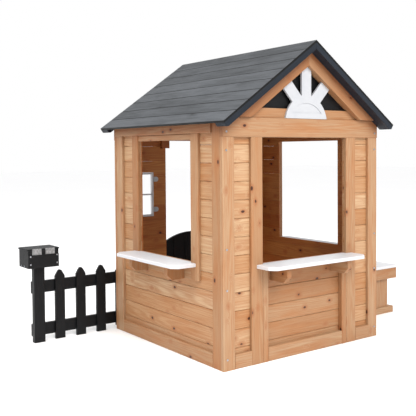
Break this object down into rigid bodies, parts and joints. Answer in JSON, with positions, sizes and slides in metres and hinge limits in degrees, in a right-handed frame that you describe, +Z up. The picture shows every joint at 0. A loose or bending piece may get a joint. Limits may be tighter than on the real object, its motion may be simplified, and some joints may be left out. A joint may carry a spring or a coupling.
{
  "type": "timber playhouse",
  "caption": "Small gabled timber playhouse with serving shelves, an arched half door, a picket fence with a lidded mailbox and a low bench.",
  "frame": {"origin": "middle of the box round the whole object, on the ground", "axes": "+X along the front gable towards the bench, +Y from the front serving window to the door wall, +Z up"},
  "size_m": [2.024, 1.12, 1.4545],
  "materials": {
    "cedar": "satin stained softwood with knots",
    "black_stain": "matt black stain",
    "roof_stain": "matt charcoal stain",
    "white_paint": "satin white paint",
    "white_plastic": "moulded white plastic",
    "black_metal": "black powder coat",
    "zinc_steel": "zinc plated",
    "label_grey": "ribbed grey plastic"
  },
  "bodies": {
    "house": {"front_corner_stiles": "cedar", "front_window_stiles": "cedar", "front_siding": "cedar", "front_bottom_rails": "cedar", "front_beam": "cedar", "front_rafters": "cedar", "sunburst": "white_plastic", "counter_battens": "cedar", "counter_siding": "cedar", "front_shelf": "white_paint", "front_shelf_brackets": "cedar", "back_corner_stiles": "cedar", "door_stiles": "cedar", "back_siding": "cedar", "back_bottom_rails": "cedar", "back_beam": "cedar", "back_rafters": "cedar", "gable_trims": "cedar", "gable_panels": "black_stain", "doorway_block": "cedar", "left_siding": "cedar", "right_siding": "cedar", "side_stiles": "cedar", "side_bottom_rails": "cedar", "side_window_trims": "cedar", "side_window_headers": "cedar", "side_sill_rails": "cedar", "eave_friezes": "cedar", "left_shelf": "white_paint", "left_shelf_brackets": "cedar", "right_sill": "white_paint", "small_window_frame": "white_paint", "small_window_tabs": "white_plastic", "house_screws": "zinc_steel", "door_frame_leaves": "black_metal", "door_hinge_pins": "black_metal", "door_hinge_blocks": "black_stain", "roof_boards_left": "roof_stain", "roof_boards_right": "roof_stain", "roof_rake_battens": "black_stain", "roof_inner_battens": "black_stain", "fence_post": "black_stain", "fence_pickets": "black_stain", "fence_rails": "black_stain", "fence_cleat": "black_stain", "mailbox_walls": "black_stain", "mailbox_front_plate": "black_stain", "mailbox_labels": "label_grey", "mailbox_screws": "zinc_steel", "mailbox_box_leaves": "black_metal", "mailbox_hinge_pins": "black_metal", "bench_seat": "white_paint", "bench_aprons": "cedar", "bench_legs": "cedar", "bench_feet": "cedar"},
    "half_door": {"half_door_boards": "black_stain", "half_door_ledges": "black_stain", "door_hinge_leaves": "black_metal"},
    "mailbox_lid_body": {"mailbox_lid": "black_stain", "mailbox_lid_leaves": "black_metal"}
  },
  "joints": [
    {"name": "half_door_hinge", "type": "hinge", "parent": "house", "child": "half_door", "pos_m": [0.21355, 0.52245, 0.2275], "axis": [0, 0, -1], "range_deg": [0, 100]},
    {"name": "mailbox_lid_hinge", "type": "hinge", "parent": "house", "child": "mailbox_lid_body", "pos_m": [-0.92775, 0.54475, 0.4698], "axis": [-1, 0, 0], "range_deg": [0, 100]}
  ]
}
